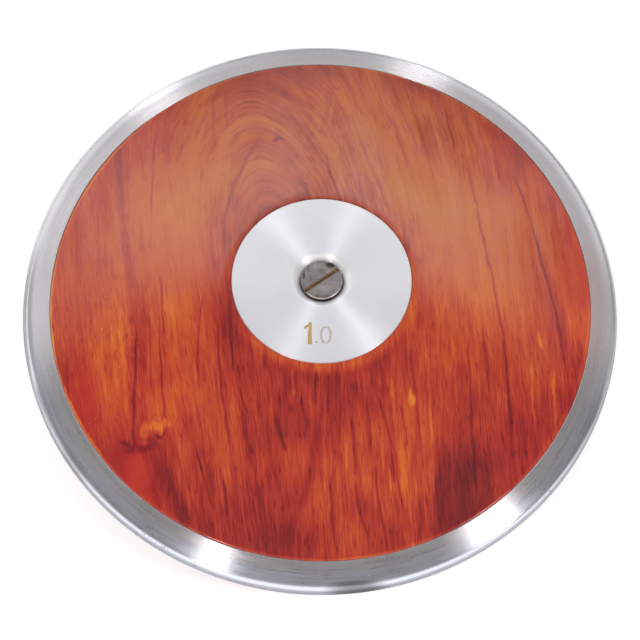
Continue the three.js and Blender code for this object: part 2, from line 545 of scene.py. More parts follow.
RIM_STEEL = (0.525, 0.515, 0.54)
PLATE_STEEL = (0.83, 0.825, 0.865)
SCREW_STEEL = (0.31, 0.275, 0.275)
INNER_STEEL = (0.45, 0.45, 0.45)
BALLAST_STEEL = (0.32, 0.33, 0.34)
# The cream of a painted highlight round the screw head
PAINTED_HIGHLIGHT_CREAM = (0.95, 0.93, 0.89)
POLISHED_HIGHLIGHT_STEEL = (0.62, 0.62, 0.64)
OLD_TAN = (0.50, 0.33, 0.13)
OLD_GREY_TAN = (0.45, 0.37, 0.25)
DARK_TAN = (0.16, 0.10, 0.04)
DARK_RESIDUE = (0.10, 0.045, 0.02)
GOLDEN_RESIDUE_AND_HIGHLIGHT = (0.46, 0.24, 0.08)
DARK_DIRT = (0.07, 0.06, 0.05)
# The grey of painted shade by the screw head's near side
PAINTED_SHADE_GREY = (0.36, 0.33, 0.33)

# Tints, laid on by multiplying
# BLUE_TINT is a painted reflection tint on the rim's near outer side.
BLUE_TINT = (0.97, 1, 1.06)
WARM_TINT = (1, 0.965, 0.95)
PINK_TINT = (1, 0.86, 0.83)

# How steel is turned: roughness, anisotropy, height of the lathe marks in millimetres, their share
RIM_TURNING = (0.29, 1.0, 0.0015, 0.08)
PLATE_TURNING = (0.36, 0.9, 0.002, 0.015)
SCREW_TURNING = (0.4, 0.2, 0.004, 0.05)
INNER_TURNING = (0.4, 0.3, 0.003, 0.05)
BALLAST_TURNING = (0.5, 0.3, 0.004, 0.05)

# Lathe marks in millimetres: their pitch, and how far each one reaches round
HAIR_MARKS = (0.06, 6)
FINE_MARKS = (0.3, 14)
COARSE_MARKS = (1.1, 40)

# Dented places on the rim in millimetres: x, y, half-width, half-height, strength
RIM_DENTS = [
    (-48, -75.5, 4, 3, 1.0),
    (-42, -79, 6, 2, 0.5),
    (-33, -83.5, 7, 2, 0.4),
    (68, -58.5, 3, 2.5, 0.6),
    (30, 81, 2, 2, 0.5),
]

# Painted shade on the rim in millimetres, darker places: x, y, half-width, half-height, share
RIM_PAINTED_SHADE = [
    (15, -89.5, 12, 4, 0.65),
    (-90, -14, 8, 34, 0.33),
    (-72, -60, 7, 14, 0.25),
]

# Marks on the bolt head in millimetres: x, y, half-width, half-height, lighter (+) or darker (-)
HEAD_PATCHES = [
    (2.4, 4.9, 1.9, 1.3, -0.75),
    (-5.3, 1.2, 0.5, 1.7, -0.6),
    (-3.4, 0.2, 0.45, 1.6, -0.3),
    (-0.4, 2.9, 0.9, 0.8, -0.25),
    # Painted shade at the head's near edge
    (0.5, -5.6, 3.6, 1.3, -0.2),
    (0.6, -2.6, 3.2, 1.6, 0.3),
    (3.6, -1.2, 2.2, 1.8, 0.2),
    (-1.5, 4.6, 2.4, 1.2, 0.15),
    (2.2, 2.7, 1.4, 0.5, 0.25),
]


def radial(shader):
    """x, y, z and the distance from the axis in millimetres, and the direction away from the axis."""
    x, y, z = shader.millimetres()
    radius = (x * x + y * y).root().at_least(0.01)
    return x, y, z, radius, x / radius, y / radius


def turning_marks(shader, radius, east, north, marks):
    """Noise drawn out along the turning direction."""
    pitch, reach = marks
    turns = radius / reach
    return shader.noise(radius / pitch, east * turns, north * turns, detail=3)


def turned_steel(name, colour, turning, metallic=1.0, wear_and_painted_light=None):
    """Steel with lathe marks that run round the axis. The wear function gives colour, with any painted
    light and shade in it, the share where paint, residue or grime covers the metal, and extra roughness.
    """
    roughness, anisotropy, mark_height, mark_share = turning
    material, shader, surface = new_surface(
        name,
        Metallic=metallic,
        Anisotropic=anisotropy,
        Anisotropic_Rotation=0.25,
    )
    x, y, z, radius, east, north = radial(shader)
    hair = turning_marks(shader, radius, east, north, HAIR_MARKS)
    fine = turning_marks(shader, radius, east, north, FINE_MARKS)
    coarse = turning_marks(shader, radius, east, north, COARSE_MARKS)
    cloud = shader.noise(x / 9, y / 9, z / 9, detail=3)
    finish = shader.scaled(colour, 1 + (fine + coarse) * mark_share + cloud * 0.03)
    grit = 0
    if wear_and_painted_light:
        finish, overlay, grit = wear_and_painted_light(shader, finish, x, y, z, radius)
        shader.feed(surface, "Metallic", metallic - overlay * metallic)
    shader.feed(surface, "Base Color", finish)
    shader.feed(surface, "Roughness", roughness + coarse * 0.04 + fine * mark_share + cloud * 0.04 + grit)
    shader.feed(surface, "Normal", shader.bump(hair * mark_height + fine * 0.002))
    tangent = shader.node("ShaderNodeTangent", direction_type="RADIAL", axis="Z")
    shader.feed(surface, "Tangent", Field(shader, tangent.outputs[0]))
    return material


def patina_and_painted_light(shader, finish, x, y, z, radius):
    """Old tan paint in the numerals, thinner in the last one, a painted highlight at the far side round
    the screw head and painted shade at its near side.
    """
    depth = FACE / MM - z
    speck = shader.noise(x / 0.5, y / 0.5, 3)
    thin = x.rise(-1.4, -1.0) * 0.35
    cover = (0.95 - thin + speck * 0.5).rise(0.2, 0.8)
    paint = depth.rise(0.12, 0.2) * radius.within(11, 12, 22, 23) * cover
    shade = shader.mix(OLD_TAN, OLD_GREY_TAN, x.rise(-1.6, -0.8))
    grime = shader.noise(x / 1.2, y / 1.2, 7).rise(0.1, 0.7)
    finish = shader.mix(finish, shader.mix(shade, DARK_TAN, grime * 0.55), paint)
    outwards = radius - HEAD_OUTER / MM
    # Painted highlight: the countersink's far side is made cream and lighter, and a little rougher.
    highlight_band = outwards.rise(3.1, 1.7) * y.rise(-3, 4)
    finish = shader.mix(finish, PAINTED_HIGHLIGHT_CREAM, highlight_band * 0.7)
    # Painted shade: the plate by the head's near side is made grey.
    overlay = outwards.rise(1.2, 0.6) * y.rise(3, -1) * (0.6 + speck * 0.4)
    finish = shader.mix(finish, PAINTED_SHADE_GREY, overlay)
    return finish, paint, paint * 0.2 + highlight_band * 0.12


def head_wear_and_painted_light(shader, finish, x, y, z, radius):
    """Blotches and scratches on the heads, one blotch a painted shade at the near edge, darker round their
    edge, a painted highlight arc along the near edge and brown residue in the slot.
    """
    inwards = HEAD_OUTER / MM - radius
    edge = inwards.rise(1.2, 0.4) * 0.22
    mottle = shader.noise(x / 2.2, y / 2.2, z / 2.2, detail=3)
    scratch = abs(shader.noise(x / 0.9 + y / 5, y / 6, 5, detail=1)).rise(0.08, 0) * 0.2
    # Painted highlight: a light arc along the head's near edge.
    painted_highlight_arc = inwards.within(0, 0.2, 0.4, 0.6) * (x * 0.4 - y).rise(1, 4)
    light = 1 + mottle * 0.3 - scratch - edge + painted_highlight_arc * (0.9 + mottle)
    marks = patches_at(x, y, HEAD_PATCHES)
    finish = shader.scaled(finish, (light + marks).at_least(0.15))
    depth = HEAD_TOP / MM - abs(z)
    slot = depth.rise(0.12, 0.4) * inwards.rise(0, 0.3)
    return shader.mix(finish, slot_residue_and_highlight(shader, x, y, z), slot), slot, slot * 0.3


def slot_residue_and_highlight(shader, x, y, z):
    """The residue's colour: dark in the middle of the slot and golden in spots and along its sides. The
    golden sides are partly a painted highlight on the slot's edges.
    """
    spot = shader.noise(x / 0.8, y / 0.8, z / 0.8 + 11).rise(0, 0.6)
    turn = math.radians(BOLT_SLOT_DEGREES)
    across = abs(y * math.cos(turn) - x * math.sin(turn)) / (SLOT_WIDTH / MM)
    return shader.mix(DARK_RESIDUE, GOLDEN_RESIDUE_AND_HIGHLIGHT, spot * 0.7 + across.rise(0.2, 0.55))


def rim_wear_and_painted_light(shader, finish, x, y, z, radius):
    """A polished outer edge with a partly painted highlight, painted light and shade over the rim, a
    painted reflection tint, dings at the near left and grime by the wood.
    """
    inwards = RIM_OUTER / MM - radius
    # The polished outer edge: real polish lowers its roughness, and its lighter colour is partly a painted
    # highlight.
    highlight_band = inwards.within(0.1, 0.6, 1.4, 2)
    finish = shader.mix(finish, POLISHED_HIGHLIGHT_STEEL, highlight_band * 0.8)
    # Painted highlight: the polished edge lighter still at the far left.
    finish = shader.scaled(finish, 1 + highlight_band * (y - x).rise(20, 90) * 0.4)
    finish = shader.scaled(finish, rim_painted_light(x, y, inwards))
    finish = tinted_rim(shader, finish, x, y, inwards)
    speck = shader.noise(x / 0.7, y / 0.7, 3).rise(0.42, 0.55) * inwards.rise(6.9, 7.9)
    ding = shader.noise(x / 1.4, y / 1.4, 9, detail=3)
    dented = patches_at(x, y, RIM_DENTS)
    dark = (ding.rise(0.1, 0.45) * dented + speck * 0.7).at_most(0.9)
    return shader.mix(finish, DARK_DIRT, dark), dark * 0.6, ding * dented * 0.25 - highlight_band * 0.13


def rim_painted_light(x, y, inwards):
    """How light the rim is, as painted light and shade: lighter at its far outer side, at its near flank
    and by the wood at the far left, and darker in listed patches of painted shade.
    """
    outer = inwards.rise(4.9, 2.1) * y.rise(86, 70)
    # Painted light: the far outer side and the near flank lighter, a painted highlight by the wood at the
    # far left, and painted shade in the listed patches.
    far_side = y.rise(0, 34) * (outer * 0.45 - 0.03)
    painted_light_near = abs(x).rise(30, 62) * y.rise(12, -14) * inwards.rise(1.7, 2.7) * 0.2
    painted_highlight_left = x.rise(-30, -62) * y.rise(8, 30) * inwards.rise(3.9, 5.7) * 0.12
    painted_shade = patches_at(x, y, RIM_PAINTED_SHADE) * inwards.rise(3.7, 2.3)
    return (far_side + 1 + painted_light_near + painted_highlight_left) * (1 - painted_shade)


def tinted_rim(shader, finish, x, y, inwards):
    """The rim's colour, bluer at its near outer side as a painted reflection tint, warmer by the wood and
    pink at the right.
    """
    near = y.rise(-5, -35) * inwards.rise(6.5, 3.5)
    right = x.rise(66, 76) * y.within(-32, -12, 12, 34) * inwards.rise(2, 5.5)
    # Painted reflection tint: the near outer side bluer.
    finish = shader.tint(finish, BLUE_TINT, near)
    finish = shader.tint(finish, WARM_TINT, inwards.rise(4, 6))
    return shader.tint(finish, PINK_TINT, right)


def rim_steel():
    return turned_steel("rim_brushed_steel", RIM_STEEL, RIM_TURNING, wear_and_painted_light=rim_wear_and_painted_light)


def plate_steel():
    return turned_steel("plate_turned_steel", PLATE_STEEL, PLATE_TURNING, metallic=0.6, wear_and_painted_light=patina_and_painted_light)


def screw_steel():
    return turned_steel("screw_dark_steel", SCREW_STEEL, SCREW_TURNING, wear_and_painted_light=head_wear_and_painted_light)


def inner_steel():
    return turned_steel("inner_plain_steel", INNER_STEEL, INNER_TURNING)


def ballast_steel():
    return turned_steel("ballast_dark_steel", BALLAST_STEEL, BALLAST_TURNING)


# Wood

RED_BROWN = (0.12, 0.008, 0.010)
DEEP_RED = (0.27, 0.015, 0.014)
RED = (0.43, 0.037, 0.018)
ORANGE_RED = (0.52, 0.075, 0.019)
ORANGE = (0.62, 0.130, 0.020)
GOLD = (0.66, 0.220, 0.030)
PALE_NICK_AND_GLINT = (0.72, 0.30, 0.20)

# The wood's colours by its tone
WOOD_STOPS = [
    (0, RED_BROWN),
    (0.24, DEEP_RED),
    (0.45, RED),
    (0.62, ORANGE_RED),
    (0.8, ORANGE),
    (1, GOLD),
]

# Tints, laid on by multiplying
# TAN_TINT lays the painted wash of the lacquer's reflection on the far side.
TAN_TINT = (1, 1.8, 1.1)
RED_TINT = (1, 0.7, 0.9)
CRIMSON_TINT = (1, 0.62, 0.95)

# The grain's arches in millimetres: where they start, their middle line and how round their tips are
ARCH_START = 4
ARCH_MIDDLE = -13
ARCH_ROUND = 3

# What picks the grain of each plank
UPPER_PLANK = 0
LOWER_PLANK = 31

# The kinds of grain: how wide and how long in millimetres, its detail, and what sets its noise apart
BAND = (13, 200, 1, 0)
STRIPE = (3.6, 30, 3, 3)
LINE = (1.2, 18, 3, 5)
FIBRE = (0.4, 7, 2, 9)
DASH = (0.55, 5, 1, 13)
BLOTCH = (4, 9, 2, 17)
RIPPLE = (7, 26, 1, 21)

# Where the sides of the wood begin and where they are full, in millimetres of y
NEAR_SIDE = (10, -25)
FAR_SIDE = (-12, 16)
# The far side that carries the painted wash of the lacquer's reflection
PAINTED_WASH_SIDE = (-8, 26)

# Dark places at the near right in millimetres: x within, y from and full at, how dark
DARK_PLACES = [
    ((35.2, 36.4, 45, 56), (-38, -58), 0.32),
    ((30.4, 31.4, 35.2, 36.4), (-57, -66), 0.15),
]

# Where the upper plank's grain is calm, where it is crimson and where its lacquer has pale nicks,
# which are painted partly as their glints, in millimetres: x, y, half-width, half-height, share
CALM_PATCHES = [
    (-54, -60, 13, 20, 0.85),
    (-68, -40, 8, 22, 0.5),
]
CRIMSON_PATCHES = [
    (-53, -62, 14, 16, 1),
    (-52, -34, 22, 24, 0.4),
    (-70, -40, 9, 26, 0.7),
    (62, -44, 12, 24, 0.5),
]
NICK_AND_GLINT_PATCHES = [
    (-60, -14, 12, 24, 0.8),
    (-64, -44, 10, 18, 0.4),
    (70, -40, 8, 22, 0.3),
]

# Patches of the upper plank in millimetres: x, y, half-width, half-height, lighter (+) or darker (-).
# These are at its far side, from the far end on.
FAR_PATCHES = [
    (0, 92, 76, 24, -0.16),
    (30, 78, 10, 8, -0.08),
    (24, 74, 12, 10, -0.07),
    (-40, 66, 10, 8, 0.06),
    (-64, 62, 36, 30, -0.1),
    (-20, 62, 30, 34, -0.12),
    (62, 62, 40, 36, -0.2),
    (30, 54, 10, 12, -0.08),
    (2, 52, 30, 36, 0.04),
    (66, 43, 8, 10, 0.12),
    (-18, 42, 8, 8, 0.05),
    (54, 42, 9, 9, -0.06),
    (66, 42, 8, 8, 0.06),
    (-5, 33, 14, 10, 0.07),
    (-66, 30, 8, 12, -0.08),
    (66, 30, 8, 10, 0.06),
    (40, 28, 30, 55, 0.15),
    (-38, 25, 34, 50, 0.15),
    (-42, 24, 10, 12, 0.06),
    (16, 20, 26, 26, 0.09),
    (78, 16, 7, 12, 0.05),
    (22, 15, 12, 16, -0.08),
    (-8, 12, 46, 34, -0.3),
    (50, 6, 16, 16, 0.09),
]

# Patches at its near side, down to the near end
NEAR_PATCHES = [
    (-42, 4, 9, 28, 0.1),
    (80, 4, 8, 16, 0.08),
    (-76, 0, 9, 12, 0.05),
    (54, 0, 18, 14, 0.04),
    (-54, -6, 6, 10, -0.08),
    (27, -6, 8, 12, -0.06),
    (54, -6, 12, 12, 0.07),
    (80, -6, 8, 10, 0.12),
    (-26, -12, 12, 15, -0.12),
    (78, -18, 6, 8, -0.08),
    (-62, -22, 9, 32, 0.13),
    (-42, -24, 13, 26, 0.06),
    (-19, -24, 17, 34, -0.2),
    (14, -24, 16, 24, -0.22),
    (32, -24, 8, 22, -0.09),
    (-54, -26, 5, 22, -0.12),
    (-78, -30, 8, 9, -0.13),
    (-68, -30, 8, 10, -0.05),
    (-6, -30, 8, 6, -0.07),
    (78, -30, 8, 9, -0.12),
    (-80, -32, 8, 12, -0.12),
    (80, -32, 8, 12, -0.12),
    (80, -32, 7, 9, -0.09),
    (-61, -34, 6, 20, 0.06),
    (42, -35, 8, 12, -0.07),
    (-54, -36, 9, 12, 0.08),
    (-39.5, -38, 10, 10, 0.1),
    (-16, -38, 28, 10, 0.06),
    (0, -38, 15, 18, -0.2),
    (-50, -42, 34, 26, -0.02),
    (-42, -43, 10, 9, -0.05),
    (74, -46, 20, 34, -0.08),
    (-24, -48, 30, 14, 0.03),
    (23, -48, 10, 32, 0.05),
    (12, -52, 16, 12, -0.05),
    (-66, -54, 18, 24, -0.14),
    (-6, -55, 6, 10, 0.05),
    (30, -55, 7, 9, -0.05),
    (-50, -57, 14, 10, -0.08),
    (56, -58, 26, 40, -0.14),
    (-13, -60, 16, 30, -0.15),
    (-38, -64, 14, 16, -0.14),
    (-44, -68, 8, 8, -0.04),
    (0, -68, 12, 10, 0.07),
    (-30, -78, 9, 7, -0.06),
    (31, -78, 8, 7, 0.1),
    (13, -80, 14, 14, 0.13),
    (0, -94, 70, 40, -0.25),
]

# The knot: a golden hook round a dark eye
KNOT_PATCHES = [
    (-45.4, -44.5, 4.6, 1.8, 0.3),
    (-49.8, -45.8, 1.7, 3.6, 0.32),
    (-49.6, -49.6, 2.4, 1.2, 0.24),
    (-45.5, -47.4, 1.6, 0.9, -0.36),
    (-46.8, -49.5, 3, 3, -0.16),
    (-50.5, -57, 5, 8, 0.1),
    (-55.2, -49.2, 2.2, 1.2, -0.32),
    (-52, -51, 5.5, 2.2, -0.2),
]

# Small flecks
FLECKS = [
    (-15, 49.5, 2.6, 0.8, -0.24),
    (35, 38, 1.6, 1.2, 0.2),
    (47, 29, 1.6, 1.2, 0.2),
    (65.5, -12.5, 1.3, 3.6, 0.34),
    (28, -34.5, 1.2, 3.4, 0.4),
]

UPPER_PATCHES = FAR_PATCHES + NEAR_PATCHES + KNOT_PATCHES + FLECKS

# Streaks of the upper plank in millimetres: three places from the far end to the near one, half-width,
# lighter (+) or darker (-). These are at its far side, from left to right.
FAR_STREAKS = [
    ((-66, 50), (-61, 22), (-55.5, -8), 2.2, -0.26),
    ((-54, 58), (-53, 34), (-51, 4), 0.8, -0.24),
    ((-37, 70), (-36, 58), (-34.5, 46), 0.8, -0.15),
    ((-25, 70), (-36, 44), (-38, 12), 1.1, -0.12),
    ((-33.5, 72), (-32.5, 62), (-31, 52), 0.7, -0.1),
    ((-20, 53), (-28.5, 30), (-30, 4), 1.1, -0.2),
    ((-19.5, 49), (-26.5, 32), (-27.5, 16), 0.7, 0.14),
    ((-6, 33), (-5.6, 30), (-5, 27), 0.7, -0.26),
    ((-13, 62), (-3, 46), (4, 28), 1.2, -0.18),
    ((-9, 62), (0, 46), (7, 28), 1.2, 0.1),
    ((1.6, 70), (1.2, 62), (1, 54), 0.9, 0.12),
    ((0, 47), (3, 32), (9, 16), 0.6, -0.26),
    ((6, 68), (13, 44), (21, 18), 0.9, -0.16),
    ((18, 68), (24, 46), (32, 20), 0.9, -0.16),
    ((27, 66), (31.5, 46), (36, 20), 0.8, -0.14),
    ((36, 68), (38, 58), (39, 48), 0.6, -0.25),
    ((43, 46), (50, 15), (58.5, -54), 0.75, -0.42),
    ((55, 28), (56, 20), (57, 10), 0.5, -0.22),
    ((57, 47), (66, 17), (75, -24), 0.8, -0.36),
    ((62, 42), (70, 14), (77, -12), 3, 0.22),
]

# Streaks at the near left, round the knot and nearer than it
NEAR_LEFT_STREAKS = [
    ((-60, -12), (-56.6, -28), (-54.4, -44), 1.5, 0.22),
    ((-54.8, -12), (-53.3, -30), (-52.3, -54), 0.8, -0.42),
    ((-52.5, -14), (-50.8, -32), (-50, -50), 2.2, -0.14),
    ((-50.8, -8), (-49.2, -24), (-47.6, -38), 0.6, -0.34),
    ((-48, 4), (-47, -8), (-45.5, -20), 0.6, -0.34),
    ((-50.4, -48), (-46.8, -60), (-41, -73), 1.1, -0.16),
    ((-47.8, -10), (-46, -28), (-43.6, -44), 0.6, -0.36),
    ((-52.5, -43), (-43, -60), (-34.5, -78), 4.4, -0.24),
    ((-45, -49), (-41.6, -60), (-37, -71), 0.9, -0.14),
    ((-38.5, -62), (-37.4, -67), (-36, -72), 0.8, -0.2),
    ((-35, -4), (-35.5, -20), (-34.5, -36), 0.6, -0.28),
    ((-36, -36), (-32, -52), (-28, -70), 1.5, -0.16),
    ((-35, -50), (-32, -60), (-28, -70), 0.6, -0.26),
    ((-30, -12), (-28, -34), (-24, -52), 0.7, -0.3),
    ((-27, -6), (-26, -18), (-24, -32), 0.8, -0.28),
    ((-27.5, -28), (-25.4, -44), (-21.5, -64), 1.3, -0.12),
    ((-26.5, -59), (-25.2, -65), (-24, -71), 0.7, -0.4),
    ((-23, -33), (-21, -38), (-19.5, -42), 0.6, -0.26),
    ((-22.5, -36), (-19, -50), (-14, -72), 1.5, -0.17),
]

# Streaks in the near middle, nearer than the plate
NEAR_MIDDLE_STREAKS = [
    ((-14.5, -40), (-13, -50), (-10, -64), 1, -0.16),
    ((-12.5, -40), (-10.6, -46), (-8, -53), 0.9, -0.34),
    ((-8, -28), (-7.6, -32), (-7, -37), 0.8, 0.34),
    ((-1, -28), (-0.6, -34), (-0.4, -40), 0.7, -0.38),
    ((1, -40), (-0.5, -54), (-6, -74), 2.4, -0.2),
    ((2.6, -46), (3, -55), (4, -64), 0.8, 0.2),
    ((3, -28), (3.3, -35), (4, -43), 0.6, -0.3),
    ((5.3, -57), (6, -68), (8, -80), 1.2, -0.28),
    ((9.4, -48), (9.7, -52), (10, -57), 0.7, 0.26),
    ((10, -40), (11.8, -49), (12.5, -58), 0.9, -0.38),
    ((12.5, -58), (14, -67), (17.5, -76), 0.9, -0.3),
    ((14, -34), (15.8, -43), (16.6, -54), 0.7, -0.26),
    ((16.6, -42), (17, -46), (17.2, -50), 0.5, 0.26),
    ((18, -54), (18.6, -59), (19.2, -64), 0.6, -0.26),
    ((17.5, -34), (20.6, -42), (23.4, -51), 0.8, -0.24),
    ((19, -62), (21, -72), (22.5, -80), 0.7, -0.3),
    ((22.4, -55), (22.6, -58), (22.9, -62), 0.6, 0.24),
    ((22.6, -30), (23.4, -35), (24.2, -41), 0.5, -0.22),
    ((23, -50), (23.5, -55), (24, -60), 0.6, -0.34),
    ((20.5, -26), (25, -47), (27.8, -66), 1.7, 0.27),
    ((25.2, -58), (25.8, -62), (26.6, -67), 0.5, -0.26),
    ((24.6, -36), (26.4, -44), (27.6, -50), 0.5, -0.28),
    ((27, -18), (29, -34), (32, -50), 0.6, -0.25),
]

# Streaks at the near right
NEAR_RIGHT_STREAKS = [
    ((31, -16), (33, -30), (34.8, -50), 0.9, 0.3),
    ((44, -12), (45.5, -36), (48, -64), 0.7, -0.34),
    ((48, -8), (50, -22), (51, -34), 0.6, -0.24),
    ((63, -18), (64, -30), (65, -40), 0.8, 0.2),
    ((70, -20), (71, -32), (71.5, -40), 0.9, 0.26),
]

UPPER_STREAKS = FAR_STREAKS + NEAR_LEFT_STREAKS + NEAR_MIDDLE_STREAKS + NEAR_RIGHT_STREAKS


def grain_lines(x, y):
    """A number that is the same all along a grain line. The lines lean, and close in arches far off."""
    lean = x.smooth(-20, 5, 0.18, 0.1)
    leaning = y.times_plus(lean, x)
    fan = leaning.smooth(-56, -32, 0, 0.36)
    arch_depth = (y - ARCH_START).at_least(0) * fan
    arch_side = leaning - ARCH_MIDDLE
    return arch_side.times_plus(arch_side, arch_depth * arch_depth + ARCH_ROUND * ARCH_ROUND).root()


def grain_noise(shader, across, along, plank, kind):
    width, length, detail, number = kind
    return shader.noise(across / width, along / length, plank + number, detail=detail)


def drawn_grain(shader, x, y, plank):
    """The noises of a plank, drawn out along its grain lines, from broad bands to fine fibres."""
    across = grain_lines(x, y)
    grain = SimpleNamespace()
    grain.band = grain_noise(shader, across, y, plank, BAND)
    grain.stripe = grain_noise(shader, across, y, plank, STRIPE)
    grain.line = grain_noise(shader, across, y, plank, LINE)
    grain.fibre = grain_noise(shader, across, y, plank, FIBRE)
    grain.dash = grain_noise(shader, across, y, plank, DASH).rise(0.16, 0.5)
    grain.blotch = grain_noise(shader, x, y, plank, BLOTCH)
    grain.ripple = grain_noise(shader, across, y, plank, RIPPLE)
    return grain


def grain_tone(grain, near_side):
    """What the grain adds to the tone, finer at the near side than at the far one."""
    broad = grain.band * 0.14 + grain.stripe * (0.24 - near_side * 0.11) + grain.blotch * 0.12
    fine = grain.line * (0.25 - near_side * 0.03) + grain.fibre * (0.16 + near_side * 0.1)
    return broad + fine - grain.dash * (0.17 + near_side * 0.03)


def upper_marks(grain, x, y):
    """What the upper plank's patches, streaks and dark places add to the tone."""
    patches = patches_at(x + grain.blotch * 3, y + grain.line * 3, UPPER_PATCHES)
    streaks = streaks_at(x, y, UPPER_STREAKS) * (0.75 + grain.line * 0.8)
    marks = patches + streaks
    for columns, rows, change in DARK_PLACES:
        marks = marks - x.within(*columns) * y.rise(*rows) * change
    return marks


def edge_tone(x, radius, near_side):
    """What the lighter wood by the rim and a painted highlight round the near side of the plate's edge add
    to the tone. The wood by the rim is lighter all round, and a painted highlight makes it lighter still
    at the left.
    """
    wood_edge = WOOD_OUTER / MM
    plate_edge = PLATE_OUTER / MM
    # Lighter all round by the rim, and a painted highlight at the left.
    lip_and_highlight = radius.rise(wood_edge - 0.95, wood_edge - 0.35) * (0.14 + x.rise(-52, -72) * 0.4)
    # Painted highlight: the wood round the near side of the plate lighter.
    return lip_and_highlight + near_side * radius.rise(plate_edge + 4.2, plate_edge + 1.2) * 0.28


def wood_colour(shader, tone, x, y, radius):
    """The colour of a tone, paler and more tan at the far side as a painted wash of the lacquer's
    reflection, and redder at the right.
    """
    colour = shader.ramp(tone, WOOD_STOPS)
    far_middle = y.rise(30, 55) * abs(x).rise(62, 38)
    painted_wash = y.rise(*PAINTED_WASH_SIDE) * radius.rise(90, 44).at_least(far_middle)
    colour = shader.tint(colour, TAN_TINT, painted_wash)
    return shader.tint(colour, RED_TINT, x.rise(66, 80) * y.rise(-45, -30))


def upper_lacquer(shader, colour, x, y):
    """The upper plank's crimson places, and the pale nicks in its lacquer, painted partly as their glints.
    """
    colour = shader.tint(colour, CRIMSON_TINT, patches_at(x, y, CRIMSON_PATCHES))
    nick_and_glint = shader.noise(x / 0.35, y / 1.7, 23, detail=1).rise(0.36, 0.55)
    return shader.mix(colour, PALE_NICK_AND_GLINT, nick_and_glint * patches_at(x, y, NICK_AND_GLINT_PATCHES))


def lacquered_wood(name, plank):
    """Wood under clear lacquer. The upper plank also has the marks of the tables above."""
    material, shader, surface = new_surface(
        name,
        Specular_IOR_Level=0.1,
        Coat_Weight=1.0,
        Coat_Roughness=0.1,
        Coat_IOR=1.5,
    )
    marked = plank == UPPER_PLANK
    x, y, z = shader.millimetres()
    sway = shader.noise(x / 26 + plank, y / 60, z / 26, detail=1)
    tremble = shader.noise(x / 2, y / 8, plank + 2)
    x = x + sway * 1.6 + tremble * 0.7
    radius = (x * x + y * y).root()
    near_side = y.rise(*NEAR_SIDE)
    far_side = y.rise(*FAR_SIDE)
    grain = drawn_grain(shader, x, y, plank)
    contrast = 0.84 + near_side * 0.2
    if marked:
        contrast = contrast * (1 - patches_at(x, y, CALM_PATCHES))
    tone = 0.51 + near_side * 0.017 + grain_tone(grain, near_side) * contrast
    if marked:
        tone = tone + upper_marks(grain, x, y)
    tone = tone + edge_tone(x, radius, near_side)
    tone = tone - (tone - 0.56).at_least(0) * far_side * 0.65
    colour = wood_colour(shader, tone, x, y, radius)
    if marked:
        colour = upper_lacquer(shader, colour, x, y)
    shader.feed(surface, "Base Color", colour)
    shader.feed(surface, "Roughness", 0.55 + grain.fibre * 0.1)
    shader.feed(surface, "Normal", shader.bump(grain.fibre * 0.01))
    shader.feed(surface, "Coat Normal", shader.bump(grain.ripple * 0.05 + grain.fibre * 0.002))
    return material


# Pieces

def finish_piece(piece, material, node):
    """Shades the piece, gives it its material and puts it in the place of a node of the frame."""
    shade_smooth(piece)
    dress(piece, material)
    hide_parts(node)
    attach(piece, "root")


def dress(piece, material):
    piece.data.materials.clear()
    piece.data.materials.append(material)


def rim_pin_cutter(low, high, place):
    return rod(RIM_PIN_RADIUS + PIN_GAP, low, high, place)


def plate_pin_cutter(low, high, place):
    return rod(PLATE_PIN_RADIUS + PIN_GAP, low, high, place)


def rim_ring():
    """The rim with its rounded edge, and the tongue that the wooden halves hold."""
    start = math.pi / 2 - FLANK_ANGLE
    edge = []
    for i in range(EDGE_STEPS + 1):
        angle = -start + 2 * start * i / EDGE_STEPS
        edge.append((EDGE_CENTRE + EDGE_ROUND * math.cos(angle), EDGE_ROUND * math.sin(angle), 0))
    corners = [
        (SEAM, -TONGUE_HALF, SMALL_EASE),
        (SEAM, -SEAM_HEIGHT, RIM_INNER_EASE),
        *edge,
        (SEAM, SEAM_HEIGHT, RIM_INNER_EASE),
        (SEAM, TONGUE_HALF, SMALL_EASE),
        (TONGUE_INNER, TONGUE_HALF, SMALL_EASE),
        (TONGUE_INNER, -TONGUE_HALF, SMALL_EASE),
    ]
    ring = turned("rim_ring", eased(corners), TURN_STEPS)
    reach = TONGUE_HALF + CUT_OVERRUN
    return carve(ring, [rim_pin_cutter(-reach, reach, place) for place in RIM_PIN_PLACES])


def wood_half(name):
    """The upper wooden half, open in the middle for the plate, the washers and the tube."""
    rebate = TONGUE_INNER - SEAM_GAP
    recess = PLATE_OUTER + SEEN_SEAM_GAP
    bore = TUBE_OUTER + SEAM_GAP
    corners = [
        (bore, 0, 0),
        (rebate, 0, 0),
        (rebate, TONGUE_HALF, 0),
        (WOOD_OUTER, TONGUE_HALF, 0),
        (WOOD_OUTER, face_height(WOOD_OUTER), WOOD_LIP_EASE),
        (FLAT_ZONE, FACE, WOOD_CROWN_EASE),
        (recess, FACE, 0),
        (recess, PLATE_SEAT, 0),
        (POCKET_OUTER, PLATE_SEAT, 0),
        (POCKET_OUTER, POCKET_FLOOR, 0),
        (bore, POCKET_FLOOR, 0),
    ]
    half = turned(name, eased(corners), TURN_STEPS)
    holes = []
    for place in RIM_PIN_PLACES:
        holes.append(rim_pin_cutter(-CUT_OVERRUN, RIM_PIN_TOP + PIN_GAP, place))
    for place in PLATE_PIN_PLACES:
        holes.append(plate_pin_cutter(PLATE_PIN_LOW - PIN_GAP, PLATE_SEAT + CUT_OVERRUN, place))
    return carve(half, holes)


